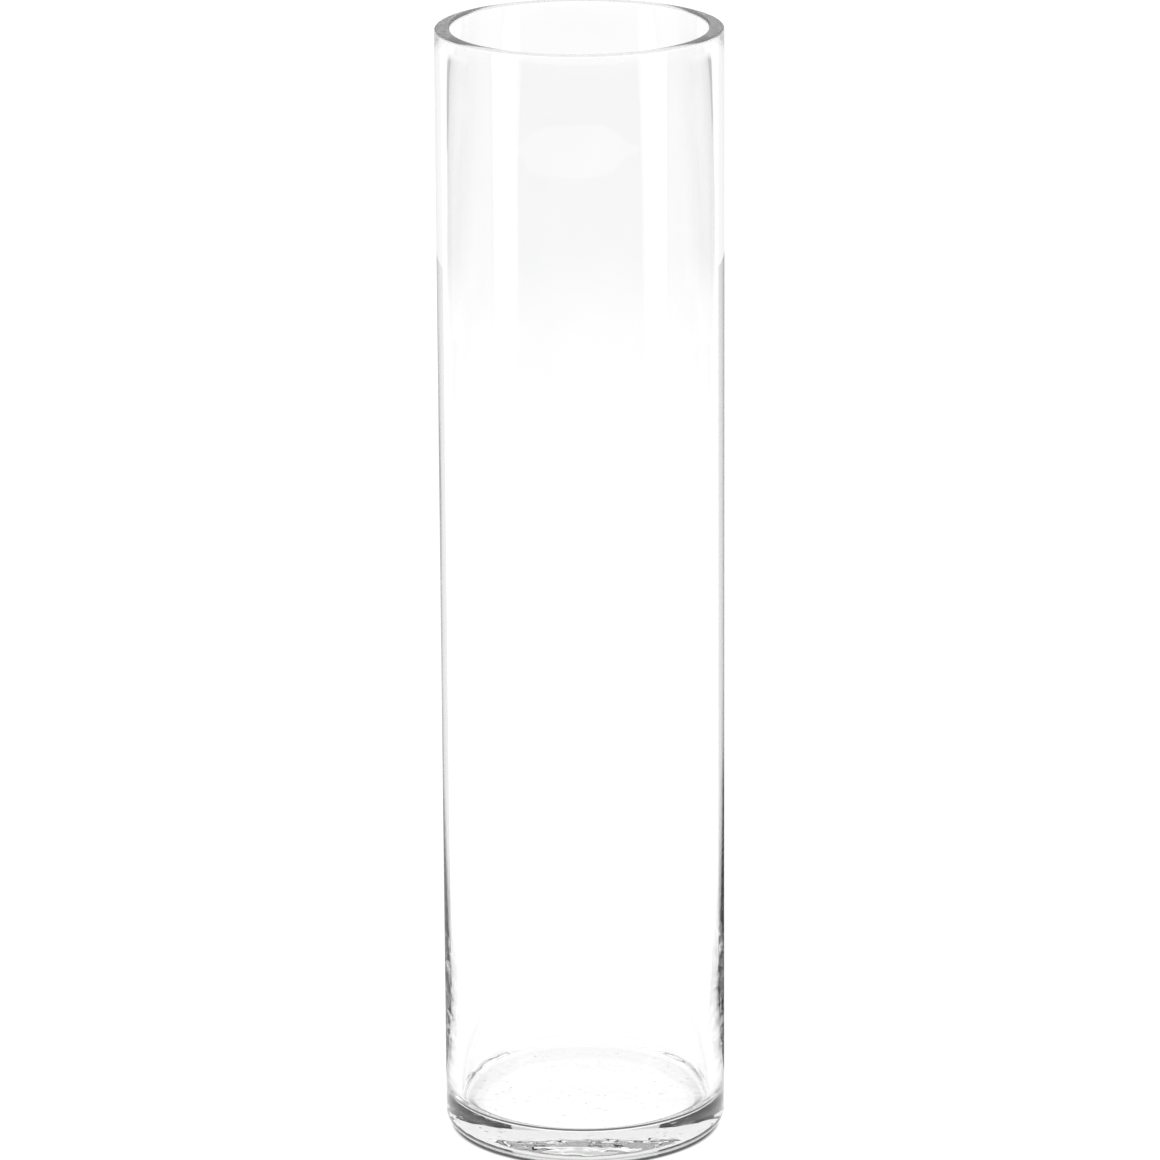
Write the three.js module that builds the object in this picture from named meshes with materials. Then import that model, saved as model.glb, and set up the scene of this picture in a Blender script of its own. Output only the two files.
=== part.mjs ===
import * as THREE from 'three';

// A free-standing glass cylinder vase for cut flowers.
// Millimetres, +Z up. The origin is on the surface the vase stands on, on its axis.
// The real vase is one blown piece of glass. Its three regions are modelled as solids
// that meet face to face on level planes: the heavy base, the wall and the rim.

// Driving dimensions
const vaseHeight = 400;
const outerDiameter = 100;

// Glass thickness of the wall: thickest at the mouth and above the floor, thinnest between.
const rimWall = 5.5;
const middleWall = 2.75;
const lowerWall = 5.3;
const rimTaperReach = 51;
const lowerTaperReach = 55;

// The base: a thick floor with a rounded heel, standing on a flat ring round a shallow hollow.
const floorThickness = 11;
const heelRadius = 5;
const restingRingWidth = 8;
const hollowHeight = 1.5;
const floorFilletRadius = 4;

// The rim: a band of the wall, cut level and polished, its edges just taken off.
const rimDepth = 12;
const rimEdgeRadius = 0.6;

// Fineness of the faceting
const turnSegments = 64;
const wallSteps = 20;
const hollowSteps = 4;
const heelSteps = 5;
const filletSteps = 4;
const rimEdgeSteps = 3;

// Sizes that follow from the driving ones
const outerRadius = outerDiameter / 2;
const rimBottom = vaseHeight - rimDepth;
const hollowRadius = outerRadius - heelRadius - restingRingWidth;

// The wall's thickness falls off along a bell curve below the mouth and above the floor.
function wallThickness(height) {
  const belowMouth = (vaseHeight - height) / rimTaperReach;
  const aboveFloor = (height - floorThickness) / lowerTaperReach;
  const rimSwell = (rimWall - middleWall) * Math.exp(-(belowMouth ** 2));
  const lowerSwell = (lowerWall - middleWall) * Math.exp(-(aboveFloor ** 2));
  return middleWall + rimSwell + lowerSwell;
}

function innerRadius(height) {
  return outerRadius - wallThickness(height);
}

// Points on a round corner, from one angle to another in degrees, ends included.
function arcPoints(centreRadius, centreHeight, radius, fromAngle, toAngle, steps) {
  const points = [];
  for (let step = 0; step <= steps; step += 1) {
    const angle = THREE.MathUtils.degToRad(fromAngle + ((toAngle - fromAngle) * step) / steps);
    const across = centreRadius + radius * Math.cos(angle);
    const up = centreHeight + radius * Math.sin(angle);
    points.push(new THREE.Vector2(across, up));
  }
  return points;
}

// Turns an outline of (radius, height) points about the vase's upright axis.
function turned(outline) {
  const geometry = new THREE.LatheGeometry(outline, turnSegments);
  geometry.rotateX(Math.PI / 2);
  return geometry;
}

function closedOutline(points) {
  return [...points, points[0].clone()];
}

// The hollow under the base rises along a cosine, level at the ring and at the middle.
function hollowPoints() {
  const points = [];
  for (let step = 0; step <= hollowSteps; step += 1) {
    const share = step / hollowSteps;
    const rise = (hollowHeight * (1 + Math.cos(Math.PI * share))) / 2;
    points.push(new THREE.Vector2(hollowRadius * share, rise));
  }
  return points;
}

function thickBase() {
  const heelCentre = outerRadius - heelRadius;
  return turned([
    ...hollowPoints(),
    ...arcPoints(heelCentre, heelRadius, heelRadius, -90, 0, heelSteps),
    new THREE.Vector2(outerRadius, floorThickness),
    new THREE.Vector2(0, floorThickness),
  ]);
}

function cylinderWall() {
  const filletTop = floorThickness + floorFilletRadius;
  const filletCentre = innerRadius(filletTop) - floorFilletRadius;
  const inside = [];
  for (let step = 0; step < wallSteps; step += 1) {
    const height = rimBottom + ((filletTop - rimBottom) * step) / wallSteps;
    inside.push(new THREE.Vector2(innerRadius(height), height));
  }
  const outline = [
    new THREE.Vector2(outerRadius, floorThickness),
    new THREE.Vector2(outerRadius, rimBottom),
    ...inside,
    ...arcPoints(filletCentre, filletTop, floorFilletRadius, 0, -90, filletSteps),
  ];
  return turned(closedOutline(outline));
}

function polishedRim() {
  const edgeHeight = vaseHeight - rimEdgeRadius;
  const outerCentre = outerRadius - rimEdgeRadius;
  const innerCentre = innerRadius(vaseHeight) + rimEdgeRadius;
  const outline = [
    new THREE.Vector2(outerRadius, rimBottom),
    ...arcPoints(outerCentre, edgeHeight, rimEdgeRadius, 0, 90, rimEdgeSteps),
    ...arcPoints(innerCentre, edgeHeight, rimEdgeRadius, 90, 180, rimEdgeSteps),
    new THREE.Vector2(innerRadius(rimBottom), rimBottom),
  ];
  return turned(closedOutline(outline));
}

function glass(colour, roughness) {
  return new THREE.MeshStandardMaterial({
    color: colour,
    roughness,
    metalness: 0,
    transparent: true,
    opacity: 0.35,
  });
}

function part(name, geometry, material) {
  const mesh = new THREE.Mesh(geometry, material);
  mesh.name = name;
  return mesh;
}

const vase = new THREE.Group();
vase.name = 'glass_cylinder_vase';
vase.add(part('thick_base', thickBase(), glass(0xe3e9e8, 0.04)));
vase.add(part('cylinder_wall', cylinderWall(), glass(0xf3f6f6, 0.02)));
vase.add(part('polished_rim', polishedRim(), glass(0xdde4e3, 0.05)));

export default vase;
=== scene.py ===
import math

import bmesh
import bpy
from mathutils import Matrix, Vector, noise


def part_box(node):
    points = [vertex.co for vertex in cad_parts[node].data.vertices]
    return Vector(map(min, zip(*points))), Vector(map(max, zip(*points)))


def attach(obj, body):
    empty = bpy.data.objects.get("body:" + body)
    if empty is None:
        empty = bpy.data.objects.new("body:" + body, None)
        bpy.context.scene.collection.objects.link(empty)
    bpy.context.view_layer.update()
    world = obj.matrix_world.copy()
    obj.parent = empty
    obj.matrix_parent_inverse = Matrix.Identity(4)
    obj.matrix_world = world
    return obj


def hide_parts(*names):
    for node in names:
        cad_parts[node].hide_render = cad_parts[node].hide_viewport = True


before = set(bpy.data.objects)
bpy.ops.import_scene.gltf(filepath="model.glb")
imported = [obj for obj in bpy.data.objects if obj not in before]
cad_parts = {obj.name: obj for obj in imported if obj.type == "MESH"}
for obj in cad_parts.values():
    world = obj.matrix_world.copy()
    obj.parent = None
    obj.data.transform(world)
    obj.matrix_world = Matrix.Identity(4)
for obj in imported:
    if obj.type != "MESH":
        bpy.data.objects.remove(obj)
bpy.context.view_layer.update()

# A tall cylinder vase of clear blown glass, standing on a pale table.
# Metres, +Z up, the origin on the table at the vase's axis. +Y is behind the vase.
MM = 0.001

# ---------------------------------------------------------------- sizes of the vase
base_low, base_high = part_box("thick_base")
rim_low, rim_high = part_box("polished_rim")

OUTER_RADIUS = base_high.x
VASE_HEIGHT = rim_high.z
FLOOR_HEIGHT = base_high.z
RIM_BOTTOM = rim_low.z

RIM_WALL = 5.5 * MM
MIDDLE_WALL = 2.75 * MM
LOWER_WALL = 5.3 * MM
RIM_TAPER_REACH = 51 * MM
LOWER_TAPER_REACH = 55 * MM
HEEL_RADIUS = 5 * MM
RESTING_RING_WIDTH = 8 * MM
HOLLOW_HEIGHT = 1.5 * MM
FLOOR_FILLET = 4 * MM
RIM_EDGE = 0.6 * MM
HOLLOW_RADIUS = OUTER_RADIUS - HEEL_RADIUS - RESTING_RING_WIDTH

TURN_STEPS = 320
RIPPLE_TOP = 75 * MM

# ---------------------------------------------------------------- depths of the blowing marks
WAVE_DEPTH = 0.07 * MM
RIPPLE_DEPTH = 0.09 * MM
INNER_RIPPLE_SHARE = 0.4
HOLLOW_CHILL_DEPTH = 0.03 * MM
RING_CHILL_DEPTH = 0.13 * MM
SWIRL_DEPTH = 0.012 * MM
SWIRL_SPACING = 1.6 * MM
FINE_MARK_DEPTH = 0.12 * MM
DRAW_LINE_SHARE = 0.1

# ---------------------------------------------------------------- glass
GLASS_IOR = 1.517
GLASS_ABSORPTION = 2.0
RIM_SATIN = 0.16
HAND_MARK_ROUGHNESS = 0.012
CLEAR = (1.0, 1.0, 1.0, 1)
HAZED = (0.988, 0.991, 0.99, 1)

# ---------------------------------------------------------------- studio
# Azimuths are in degrees from +Y, behind the vase, and grow to the right.
TABLE_RADIUS = 20
TABLE_GLOW = 0.985
TABLE_ALBEDO = (0.1, 0.1, 0.1, 1)
# Painted shade in the table's glow under the front of the resting ring, and a painted pool of extra
# glow inside the ring.
FOOT_SHADE = 0.9
THROUGH_BASE_GAIN = 0.14

BACKDROP_HALF_WIDTH = 23.5
BACKDROP_LIGHT = 0.78
OVERHEAD_LIGHT = 1.3
SURROUND_DIM = 0.032

SOFTBOX_AZIMUTH = 115.5
SOFTBOX_DISTANCE = 0.9
SOFTBOX_WIDTH = 0.21
SOFTBOX_HEIGHT = 0.9
SOFTBOX_FOOT_LIGHT = 0.8
SOFTBOX_LIGHT = 3.2
SOFTBOX_FULL_HEIGHT = 0.22

FLAG_RADIUS = 0.16
FLAG_AZIMUTHS = (16, 52)
FLAG_TOP = 0.285
UPPER_FLAG_TOP = 0.42
LOW_FLAG_START = 0.055
LOW_FLAG_HEIGHT = 1.0 * MM
LEFT_FLAG_LIGHT = 0.34
RIGHT_FLAG_LIGHT = 0.09
UPPER_FLAG_LIGHT = 0.8

FLOOR_CARD_EDGE = 4.0
FLOOR_CARD_HEIGHT = 2 * MM
SIDE_FLOOR_HEIGHT = 1.5 * MM
FAR_SIDE_START = 1.2
FAR_SIDE_AZIMUTHS = (41, 75)
SIDE_FLOOR_START = 0.7
SIDE_FLOOR_AZIMUTHS = (50, 105)
DIM_FLOOR_START = 0.45
DIM_FLOOR_AZIMUTHS = (105, 255)
BACK_FLOOR_START = 0.95
BACK_FLOOR_AZIMUTHS = (-41, 41)


# ---------------------------------------------------------------- camera
def make_camera():
    """A long lens looking down on the vase from the front, a touch out of level."""
    stand_off = 2.2972
    above_rim = 0.4753
    pitch = math.radians(16.34)
    roll = math.radians(-0.34)
    yaw = math.radians(-0.0207)
    data = bpy.data.cameras.new("camera")
    data.sensor_width = 36
    data.lens = 210.9
    data.clip_start = 0.1
    data.clip_end = 100
    camera = bpy.data.objects.new("camera", data)
    bpy.context.collection.objects.link(camera)
    ahead = Vector((
        math.sin(yaw) * math.cos(pitch),
        math.cos(yaw) * math.cos(pitch),
        -math.sin(pitch),
    ))
    level_right = Vector((math.cos(yaw), -math.sin(yaw), 0))
    level_up = level_right.cross(ahead)
    right = level_right * math.cos(roll) + level_up * math.sin(roll)
    up = level_up * math.cos(roll) - level_right * math.sin(roll)
    turn = Matrix((right, up, -ahead)).transposed()
    place = Matrix.Translation((0, -stand_off, VASE_HEIGHT + above_rim))
    camera.matrix_world = place @ turn.to_4x4()
    bpy.context.scene.camera = camera


# ---------------------------------------------------------------- outline of the glass
def wall_thickness(height):
    """Thickest at the mouth and above the floor, thinnest between, along bell curves."""
    below_mouth = (VASE_HEIGHT - height) / RIM_TAPER_REACH
    above_floor = (height - FLOOR_HEIGHT) / LOWER_TAPER_REACH
    rim_swell = (RIM_WALL - MIDDLE_WALL) * math.exp(-(below_mouth**2))
    lower_swell = (LOWER_WALL - MIDDLE_WALL) * math.exp(-(above_floor**2))
    return MIDDLE_WALL + rim_swell + lower_swell


def inner_radius(height):
    return OUTER_RADIUS - wall_thickness(height)


def stretch(start, end, steps):
    """Even steps from start to end, leaving the start out."""
    return [start + (end - start) * step / steps for step in range(1, steps + 1)]


def arc(centre_radius, centre_height, radius, from_angle, to_angle, steps):
    """Points round a corner, with the first one left out."""
    points = []
    for degrees in stretch(from_angle, to_angle, steps):
        angle = math.radians(degrees)
        across = centre_radius + radius * math.cos(angle)
        points.append((across, centre_height + radius * math.sin(angle)))
    return points


def hollow_rise(radius):
    """The hollow under the base: a very flat cone, rounded at the middle."""
    rounding = 0.2
    share = radius / HOLLOW_RADIUS
    fall = (math.hypot(share, rounding) - rounding) / (math.hypot(1, rounding) - rounding)
    return HOLLOW_HEIGHT * (1 - fall)


def underside_outline():
    """From the middle of the hollow out over the resting ring and round the heel."""
    heel_centre = OUTER_RADIUS - HEEL_RADIUS
    points = [(0, HOLLOW_HEIGHT)]
    points += [(radius, hollow_rise(radius)) for radius in stretch(0, HOLLOW_RADIUS, 36)]
    points += [(radius, 0) for radius in stretch(HOLLOW_RADIUS, heel_centre, 7)]
    points += arc(heel_centre, HEEL_RADIUS, HEEL_RADIUS, -90, 0, 10)
    return points


def rim_outline():
    """Up the outside, over the level top of the rim and its two eased edges."""
    edge_height = VASE_HEIGHT - RIM_EDGE
    inner_edge_centre = inner_radius(VASE_HEIGHT) + RIM_EDGE
    points = [(OUTER_RADIUS, height) for height in stretch(HEEL_RADIUS, RIPPLE_TOP, 50)]
    points += [(OUTER_RADIUS, height) for height in stretch(RIPPLE_TOP, edge_height, 24)]
    points += arc(OUTER_RADIUS - RIM_EDGE, edge_height, RIM_EDGE, 0, 90, 6)
    points += [(inner_edge_centre, VASE_HEIGHT)]
    points += arc(inner_edge_centre, edge_height, RIM_EDGE, 90, 180, 6)
    return points


def inside_outline():
    """Down the inside, round the fillet and across the floor to its middle."""
    fillet_top = FLOOR_HEIGHT + FLOOR_FILLET
    fillet_centre = inner_radius(fillet_top) - FLOOR_FILLET
    heights = stretch(VASE_HEIGHT - RIM_EDGE, RIPPLE_TOP, 40) + stretch(RIPPLE_TOP, fillet_top, 46)
    points = [(inner_radius(height), height) for height in heights]
    points += arc(fillet_centre, fillet_top, FLOOR_FILLET, 0, -90, 8)
    points += [(radius, FLOOR_HEIGHT) for radius in stretch(fillet_centre, 0, 36)]
    return points


def turn_outline(points, steps):
    """Spins the section through an eighth of a turn, then doubles that wedge until it closes."""
    shell = bmesh.new()
    spots = [shell.verts.new((radius, 0, height)) for radius, height in points]
    chain = [shell.edges.new(pair) for pair in zip(spots, spots[1:])]
    bmesh.ops.spin(
        shell,
        geom=spots + chain,
        cent=(0, 0, 0),
        axis=(0, 0, 1),
        dvec=(0, 0, 0),
        angle=math.tau / 8,
        steps=steps // 8,
        use_merge=False,
    )
    for eighths in (1, 2, 4):
        made = bmesh.ops.duplicate(shell, geom=shell.verts[:] + shell.edges[:] + shell.faces[:])
        copied = [item for item in made["geom"] if isinstance(item, bmesh.types.BMVert)]
        turn = Matrix.Rotation(math.tau * eighths / 8, 3, "Z")
        bmesh.ops.rotate(shell, verts=copied, cent=(0, 0, 0), matrix=turn)
    bmesh.ops.remove_doubles(shell, verts=shell.verts, dist=0.001 * MM)
    bmesh.ops.recalc_face_normals(shell, faces=shell.faces)
    return shell


# ---------------------------------------------------------------- unevenness of blown glass
def smooth_between(low, high, value):
    share = min(max((value - low) / (high - low), 0), 1)
    return share * share * (3 - 2 * share)


def noise_at(place, across, up):
    """Smooth noise with a grain of so many metres across and up."""
    return noise.noise(Vector((place.x / across, place.y / across, place.z / up)))


def blown_waves(place):
    """Long upright waves that blowing leaves on the inside of the wall."""
    below_rim = 1 - smooth_between(RIM_BOTTOM - 30 * MM, RIM_BOTTOM, place.z)
    above_floor = smooth_between(16 * MM, 45 * MM, place.z)
    return WAVE_DEPTH * noise_at(place, 14 * MM, 120 * MM) * below_rim * above_floor


def settling_ripples(place):
    """Level ripples where the hot glass settled in the mould, strongest beside its two seams."""
    above_foot = smooth_between(14 * MM, 24 * MM, place.z)
    below_middle = 1 - smooth_between(45 * MM, 85 * MM, place.z)
    beside_seam = 0.2 + 0.8 * smooth_between(0.6, 0.95, abs(place.x) / OUTER_RADIUS)
    return RIPPLE_DEPTH * above_foot * below_middle * beside_seam * noise_at(place, 22 * MM, 3.4 * MM)


def chill_marks(place):
    """Mottling where the cold mould touched the underside, gentler in the hollow than on the ring."""
    grain = 6 * MM
    radius = math.hypot(place.x, place.y)
    on_ring = smooth_between(HOLLOW_RADIUS - 8 * MM, HOLLOW_RADIUS + 2 * MM, radius)
    below_heel = 1 - smooth_between(OUTER_RADIUS - 4 * MM, OUTER_RADIUS - 1 * MM, radius)
    depth = HOLLOW_CHILL_DEPTH + (RING_CHILL_DEPTH - HOLLOW_CHILL_DEPTH) * on_ring
    return depth * below_heel * abs(noise.fractal(place / grain, 1.0, 2.0, 2))


def gather_swirl(place):
    """Faint rings left in the middle of the floor by the gather of glass."""
    radius = math.hypot(place.x, place.y)
    fade = 1 - smooth_between(6 * MM, 20 * MM, radius)
    wobble = noise.noise(Vector((place.x / (5 * MM), place.y / (5 * MM), 3.7)))
    return SWIRL_DEPTH * fade * math.sin(radius / SWIRL_SPACING + 2.5 * wobble)


def mark_at(place):
    """How far the glass stands out at a place on the vase, by the marks of that part of it."""
    radius = math.hypot(place.x, place.y)
    outside = radius > OUTER_RADIUS - 0.5 * MM
    on_floor = radius < OUTER_RADIUS - LOWER_WALL - FLOOR_FILLET
    if place.z < HEEL_RADIUS and not outside:
        return -chill_marks(place)
    if outside and place.z < VASE_HEIGHT - RIM_EDGE:
        return -abs(settling_ripples(place))
    if FLOOR_HEIGHT + FLOOR_FILLET < place.z < RIM_BOTTOM:
        return blown_waves(place) + INNER_RIPPLE_SHARE * settling_ripples(place)
    if place.z > FLOOR_HEIGHT - 0.1 * MM and on_floor:
        return gather_swirl(place)
    return 0


def roughen(shell):
    """Moves each point of the turned shell by the mark that its place on the vase gets."""
    shell.normal_update()
    moves = [(spot, spot.normal * mark_at(spot.co)) for spot in shell.verts]
    for spot, move in moves:
        spot.co += move
    shell.normal_update()


# ---------------------------------------------------------------- shader helpers
def link(tree, source, target):
    tree.links.new(source, target)


def add_math(tree, operation, first, second=None):
    """A Math node; each input is a socket or a number."""
    node = tree.nodes.new("ShaderNodeMath")
    node.operation = operation
    for slot, value in enumerate((first, second)):
        if isinstance(value, (int, float)):
            node.inputs[slot].default_value = value
        elif value is not None:
            link(tree, value, node.inputs[slot])
    return node.outputs[0]


def product(tree, first, second):
    return add_math(tree, "MULTIPLY", first, second)


def object_place(tree):
    return tree.nodes.new("ShaderNodeTexCoord").outputs["Object"]


def split_place(tree, place):
    split = tree.nodes.new("ShaderNodeSeparateXYZ")
    link(tree, place, split.inputs[0])
    return split.outputs


def fade_between(tree, value, start, end, low=0.0, high=1.0):
    """A smooth change from low at start to high at end."""
    node = tree.nodes.new("ShaderNodeMapRange")
    node.interpolation_type = "SMOOTHSTEP"
    if start > end:
        start, end, low, high = end, start, high, low
    node.inputs["From Min"].default_value = start
    node.inputs["From Max"].default_value = end
    node.inputs["To Min"].default_value = low
    node.inputs["To Max"].default_value = high
    link(tree, value, node.inputs["Value"])
    return node.outputs[0]


def stretched_noise(tree, place, grain, detail=2.0, distortion=0.0):
    """Noise of a given grain size in metres along x, y and z."""
    mapping = tree.nodes.new("ShaderNodeMapping")
    mapping.inputs["Scale"].default_value = [1 / size for size in grain]
    link(tree, place, mapping.inputs["Vector"])
    cloud = tree.nodes.new("ShaderNodeTexNoise")
    cloud.inputs["Scale"].default_value = 1
    cloud.inputs["Detail"].default_value = detail
    cloud.inputs["Distortion"].default_value = distortion
    link(tree, mapping.outputs[0], cloud.inputs["Vector"])
    return cloud.outputs["Fac"]


# ---------------------------------------------------------------- glass
def glass_relief(tree, place, height):
    """Height of the fine marks: upright draw lines on the wall, chill specks under the base."""
    lines = stretched_noise(tree, place, (3 * MM, 3 * MM, 90 * MM))
    above_base = fade_between(tree, height, 12 * MM, 60 * MM)
    below_rim = fade_between(tree, height, VASE_HEIGHT - 8 * MM, VASE_HEIGHT - 30 * MM)
    draw_lines = product(tree, product(tree, lines, above_base), below_rim)
    grain = stretched_noise(tree, place, (2.2 * MM, 2.2 * MM, 2.2 * MM))
    under = fade_between(tree, height, 2.2 * MM, 1.8 * MM)
    specks = product(tree, fade_between(tree, grain, 0.66, 0.74), under)
    return add_math(tree, "ADD", product(tree, draw_lines, DRAW_LINE_SHARE), specks)


def glass_roughness(tree, place, height):
    """Satin on the cut rim, and faint hand marks on the wall above the foot."""
    rim_start = VASE_HEIGHT - 0.3 * MM
    on_rim = fade_between(tree, height, rim_start, VASE_HEIGHT - 0.1 * MM, 0.0, RIM_SATIN)
    smudges = stretched_noise(tree, place, (30 * MM, 30 * MM, 45 * MM), 4.0, 0.6)
    above_foot = fade_between(tree, height, 15 * MM, 60 * MM)
    touched = fade_between(tree, smudges, 0.52, 0.75, 0.0, HAND_MARK_ROUGHNESS)
    return add_math(tree, "ADD", on_rim, product(tree, touched, above_foot))


def glass_tint(tree, place):
    """Clear glass with clouds of the faintest haze."""
    haze = stretched_noise(tree, place, (18 * MM, 18 * MM, 25 * MM), 3.0)
    tint = tree.nodes.new("ShaderNodeMix")
    tint.data_type = "RGBA"
    tint.inputs["A"].default_value = CLEAR
    tint.inputs["B"].default_value = HAZED
    link(tree, fade_between(tree, haze, 0.45, 0.7), tint.inputs["Factor"])
    return tint.outputs["Result"]


def make_glass():
    """Clear glass with a satin cut rim, hand marks on the wall and a mottled underside."""
    material = bpy.data.materials.new("clear_glass")
    material.use_nodes = True
    tree = material.node_tree
    shader = tree.nodes["Principled BSDF"]
    shader.inputs["IOR"].default_value = GLASS_IOR
    shader.inputs["Transmission Weight"].default_value = 1
    place = object_place(tree)
    height = split_place(tree, place)["Z"]
    link(tree, glass_roughness(tree, place, height), shader.inputs["Roughness"])
    link(tree, glass_tint(tree, place), shader.inputs["Base Color"])

    bump = tree.nodes.new("ShaderNodeBump")
    bump.inputs["Strength"].default_value = 1.0
    bump.inputs["Distance"].default_value = FINE_MARK_DEPTH
    link(tree, glass_relief(tree, place, height), bump.inputs["Height"])
    link(tree, bump.outputs[0], shader.inputs["Normal"])

    volume = tree.nodes.new("ShaderNodeVolumeAbsorption")
    volume.inputs["Color"].default_value = (0.0, 0.0, 0.0, 1)
    volume.inputs["Density"].default_value = GLASS_ABSORPTION
    link(tree, volume.outputs[0], tree.nodes["Material Output"].inputs["Volume"])
    return material


# ---------------------------------------------------------------- the vase
def make_vase():
    """One closed skin of glass: light bends only where glass meets air, not at joins inside it."""
    shell = turn_outline(underside_outline() + rim_outline() + inside_outline(), TURN_STEPS)
    roughen(shell)
    for face in shell.faces:
        face.smooth = True
    mesh = bpy.data.meshes.new("glass_vase")
    shell.to_mesh(mesh)
    shell.free()
    mesh.materials.append(make_glass())
    vase = bpy.data.objects.new("glass_vase", mesh)
    bpy.context.collection.objects.link(vase)
    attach(vase, "root")
    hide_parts("thick_base", "cylinder_wall", "polished_rim")


# ---------------------------------------------------------------- studio materials
def emission(name, strength):
    """A plain glow, for cards that only the glass sees."""
    material = bpy.data.materials.new(name)
    material.use_nodes = True
    tree = material.node_tree
    tree.nodes.clear()
    glow = tree.nodes.new("ShaderNodeEmission")
    glow.inputs["Strength"].default_value = strength
    out = tree.nodes.new("ShaderNodeOutputMaterial")
    link(tree, glow.outputs[0], out.inputs[0])
    return material


def graded(name, near, far, near_strength, far_strength):
    """A glow that changes with the distance from the vase's axis."""
    material = emission(name, 1.0)
    tree = material.node_tree
    away = tree.nodes.new("ShaderNodeVectorMath")
    away.operation = "LENGTH"
    link(tree, object_place(tree), away.inputs[0])
    strength = fade_between(tree, away.outputs["Value"], near, far, near_strength, far_strength)
    link(tree, strength, tree.nodes["Emission"].inputs["Strength"])
    return material


def softbox_material():
    """Bright, dying away toward the foot of the softbox."""
    material = emission("softbox", 1.0)
    tree = material.node_tree
    height = split_place(tree, object_place(tree))["Z"]
    strength = fade_between(tree, height, 0.0, SOFTBOX_FULL_HEIGHT, SOFTBOX_FOOT_LIGHT, SOFTBOX_LIGHT)
    link(tree, strength, tree.nodes["Emission"].inputs["Strength"])
    return material


def table_material():
    """A pale self-lit table, with painted shade in its glow under the front of the resting ring and a
    painted pool of extra glow inside the ring.
    """
    material = bpy.data.materials.new("lit_table")
    material.use_nodes = True
    tree = material.node_tree
    shader = tree.nodes["Principled BSDF"]
    shader.inputs["Base Color"].default_value = TABLE_ALBEDO
    shader.inputs["Roughness"].default_value = 1.0
    shader.inputs["Specular IOR Level"].default_value = 0.0
    shader.inputs["Emission Color"].default_value = (1, 1, 1, 1)
    spot = split_place(tree, object_place(tree))
    across = spot["X"]
    along = spot["Y"]
    squares = add_math(tree, "ADD", product(tree, across, across), product(tree, along, along))
    radius = add_math(tree, "SQRT", squares)
    # Painted shade: the glow is dimmed in a ring under the front of the resting ring.
    inside = fade_between(tree, radius, 39 * MM, 41 * MM)
    outside = fade_between(tree, radius, 49 * MM, 47 * MM)
    front = fade_between(tree, along, 5 * MM, -10 * MM)
    shade = product(tree, product(tree, product(tree, inside, outside), front), FOOT_SHADE)
    # Painted light: the glow is raised inside the resting ring, where only the base looks down on it.
    gain = fade_between(tree, radius, 38 * MM, 36 * MM, 0.0, THROUGH_BASE_GAIN)
    lit = add_math(tree, "SUBTRACT", add_math(tree, "ADD", 1.0, gain), shade)
    link(tree, product(tree, lit, TABLE_GLOW), shader.inputs["Emission Strength"])
    return material


def make_world():
    """Bright low down all round and behind the vase, brightest overhead, dim elsewhere."""
    world = bpy.data.worlds.new("studio")
    world.use_nodes = True
    tree = world.node_tree
    tree.nodes.clear()
    coords = tree.nodes.new("ShaderNodeTexCoord")
    glow = tree.nodes.new("ShaderNodeBackground")
    out = tree.nodes.new("ShaderNodeOutputWorld")
    toward = split_place(tree, coords.outputs["Generated"])
    rise = toward["Z"]
    level = add_math(tree, "SQRT", add_math(tree, "SUBTRACT", 1.0, product(tree, rise, rise)))
    backward = add_math(tree, "DIVIDE", toward["Y"], level)
    edge = math.cos(math.radians(BACKDROP_HALF_WIDTH))
    full = math.cos(math.radians(BACKDROP_HALF_WIDTH - 1))
    behind = fade_between(tree, backward, edge, full, 0.0, BACKDROP_LIGHT)
    low = fade_between(tree, rise, 0.15, 0.08)
    overhead = fade_between(tree, rise, 0.45, 0.62, SURROUND_DIM, OVERHEAD_LIGHT)
    light = add_math(tree, "MAXIMUM", add_math(tree, "MAXIMUM", low, behind), overhead)
    glow.inputs["Color"].default_value = (1.0, 1.0, 1.0, 1)
    link(tree, light, glow.inputs["Strength"])
    link(tree, glow.outputs[0], out.inputs[0])
    bpy.context.scene.world = world


# ---------------------------------------------------------------- studio shapes
def add_staged(name, shape, material):
    mesh = bpy.data.meshes.new(name)
    shape.to_mesh(mesh)
    shape.free()
    mesh.materials.append(material)
    thing = bpy.data.objects.new(name, mesh)
    bpy.context.collection.objects.link(thing)
    return thing


def add_card(name, shape, material, glossy=True, through=True):
    """A card hidden from the camera, seen in the glass as a reflection, through it, or both."""
    card = add_staged(name, shape, material)
    card.visible_camera = False
    card.visible_shadow = False
    card.visible_diffuse = False
    card.visible_glossy = glossy
    card.visible_transmission = through


def about_axis(azimuth):
    """The turn about the upright axis from straight behind the vase to an azimuth."""
    return Matrix.Rotation(-math.radians(azimuth), 3, "Z")


def on_side(side, azimuths):
    """The same azimuths to the right, side 1, or to the left, side -1."""
    return [side * azimuth for azimuth in azimuths]


def swing(shape, geom, azimuths, steps):
    """Spins points or edges that stand straight behind the vase from one azimuth to another."""
    start, end = azimuths
    spots = [item for item in geom if isinstance(item, bmesh.types.BMVert)]
    bmesh.ops.rotate(shape, verts=spots, cent=(0, 0, 0), matrix=about_axis(start))
    bmesh.ops.spin(
        shape,
        geom=geom,
        cent=(0, 0, 0),
        axis=(0, 0, -1),
        dvec=(0, 0, 0),
        angle=math.radians(end - start),
        steps=steps,
        use_merge=False,
    )


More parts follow.
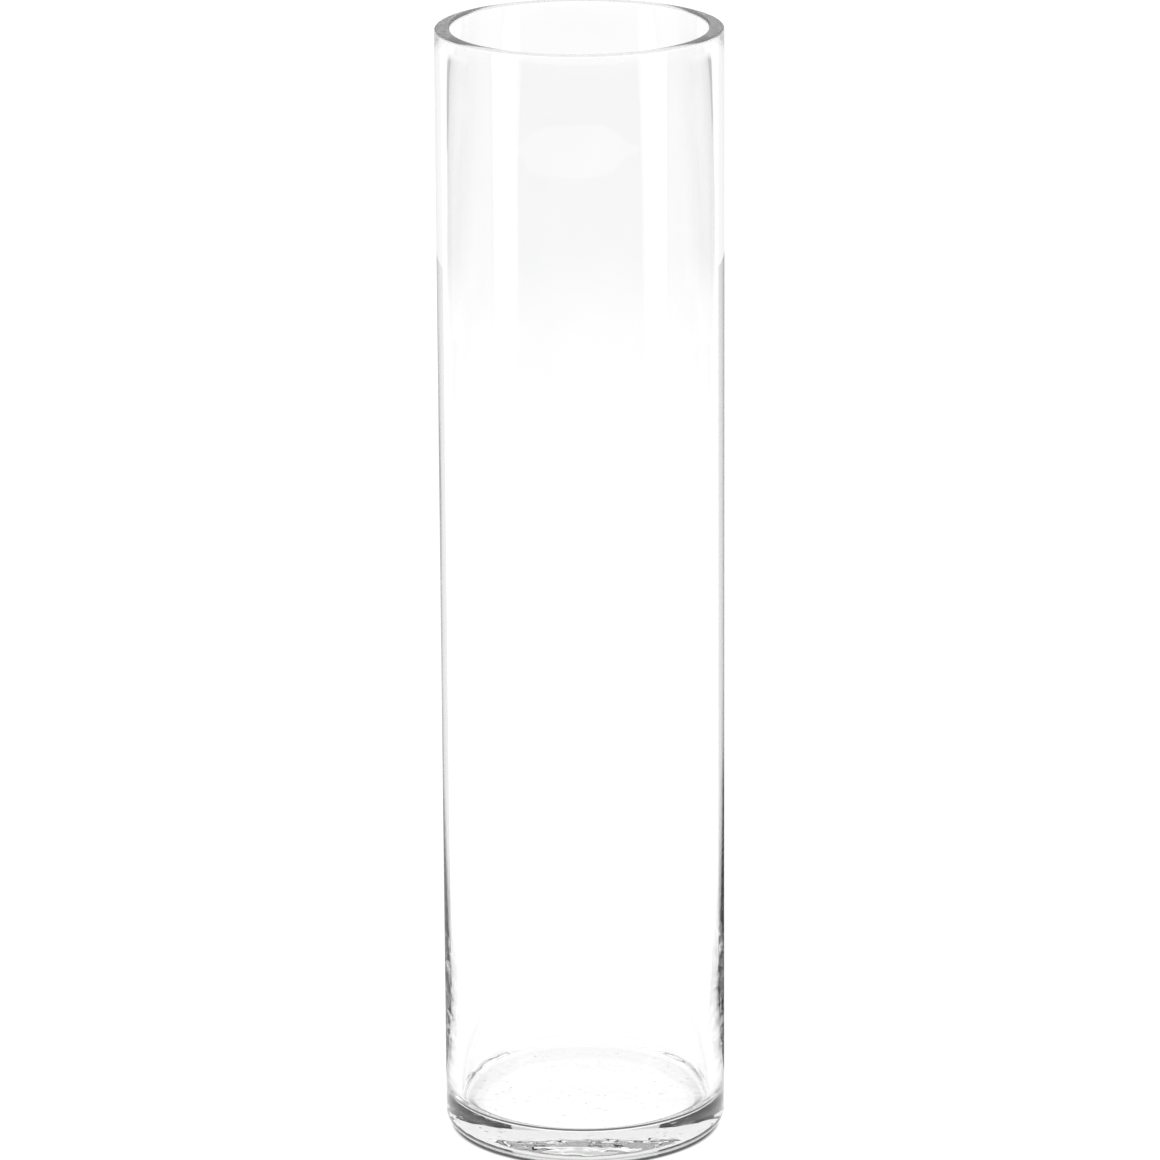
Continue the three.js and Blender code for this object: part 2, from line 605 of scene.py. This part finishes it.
def upright_card(azimuth, distance, width, height):
    """A flat card standing on the table, square to the vase."""
    shape = bmesh.new()
    bmesh.ops.create_grid(shape, x_segments=1, y_segments=1, size=0.5)
    bmesh.ops.scale(shape, verts=shape.verts, vec=(width, height, 1))
    upright = Matrix.Rotation(math.pi / 2, 3, "X")
    bmesh.ops.rotate(shape, verts=shape.verts, cent=(0, 0, 0), matrix=upright)
    bmesh.ops.translate(shape, verts=shape.verts, vec=(0, distance, height / 2))
    bmesh.ops.rotate(shape, verts=shape.verts, cent=(0, 0, 0), matrix=about_axis(azimuth))
    return shape


def arc_card(azimuths, low, high):
    """An upright card bent round the vase between two azimuths."""
    shape = bmesh.new()
    foot = shape.verts.new((0, FLAG_RADIUS, low))
    swing(shape, [foot], azimuths, 24)
    raised = bmesh.ops.extrude_edge_only(shape, edges=shape.edges[:])
    top = [item for item in raised["geom"] if isinstance(item, bmesh.types.BMVert)]
    bmesh.ops.translate(shape, verts=top, vec=(0, 0, high - low))
    return shape


def floor_card(azimuths, near, far=FLOOR_CARD_EDGE, height=FLOOR_CARD_HEIGHT):
    """Part of a flat ring lying just above the table."""
    shape = bmesh.new()
    ends = [shape.verts.new((0, radius, height)) for radius in (near, far)]
    edge = shape.edges.new(ends)
    swing(shape, ends + [edge], azimuths, 64)
    return shape


# ---------------------------------------------------------------- studio set-up
def make_table():
    shape = bmesh.new()
    bmesh.ops.create_circle(shape, cap_ends=True, radius=TABLE_RADIUS, segments=96)
    bmesh.ops.translate(shape, verts=shape.verts, vec=(0, 0, -0.2 * MM))
    add_staged("table", shape, table_material())


def make_softboxes():
    """A pair in front, at the sides, which draw the two upright highlights."""
    bright = softbox_material()
    for side in (-1, 1):
        shape = upright_card(side * SOFTBOX_AZIMUTH, SOFTBOX_DISTANCE, SOFTBOX_WIDTH, SOFTBOX_HEIGHT)
        add_card("softbox", shape, bright)


def make_edge_flags():
    """Dark cards close behind, at the sides, which draw the vase's outline on the pale ground."""
    upper_dim = emission("upper_edge_flag", UPPER_FLAG_LIGHT)
    for side, light in ((-1, LEFT_FLAG_LIGHT), (1, RIGHT_FLAG_LIGHT)):
        dark = emission("edge_flag", light)
        span = on_side(side, FLAG_AZIMUTHS)
        upright = arc_card(span, 0.0, FLAG_TOP)
        upper = arc_card(span, FLAG_TOP, UPPER_FLAG_TOP)
        lying = floor_card(span, LOW_FLAG_START, FLAG_RADIUS, LOW_FLAG_HEIGHT)
        add_card("edge_flag", upright, dark, through=False)
        add_card("upper_edge_flag", upper, upper_dim, through=False)
        add_card("low_edge_flag", lying, dark, through=False)


def make_floor_cards():
    """Lying cards that dim the far table at the sides and in front, and brighten it behind."""
    far_side = graded("far_side", near=1.2, far=1.7, near_strength=1.0, far_strength=0.5)
    side_floor = graded("side_floor", near=0.7, far=1.4, near_strength=1.0, far_strength=0.75)
    dim_floor = graded("dim_floor", near=0.45, far=1.7, near_strength=1.0, far_strength=0.45)
    back_floor = graded("back_floor", near=1.05, far=1.5, near_strength=1.075, far_strength=1.03)
    for side in (-1, 1):
        shape = floor_card(on_side(side, FAR_SIDE_AZIMUTHS), FAR_SIDE_START)
        add_card("far_side", shape, far_side, glossy=False)
        span = on_side(side, SIDE_FLOOR_AZIMUTHS)
        shape = floor_card(span, SIDE_FLOOR_START, height=SIDE_FLOOR_HEIGHT)
        add_card("side_floor", shape, side_floor)
    add_card("dim_floor", floor_card(DIM_FLOOR_AZIMUTHS, DIM_FLOOR_START), dim_floor)
    shape = floor_card(BACK_FLOOR_AZIMUTHS, BACK_FLOOR_START)
    add_card("back_floor", shape, back_floor, glossy=False)


def look_settings():
    """Plain tones, and enough bounces for light to find its way out of the thick base."""
    scene = bpy.context.scene
    scene.view_settings.view_transform = "Standard"
    scene.cycles.max_bounces = 128
    scene.cycles.transmission_bounces = 128
    scene.cycles.glossy_bounces = 64
    scene.cycles.caustics_reflective = True
    scene.cycles.caustics_refractive = True


make_camera()
make_vase()
make_world()
make_table()
make_softboxes()
make_edge_flags()
make_floor_cards()
look_settings()
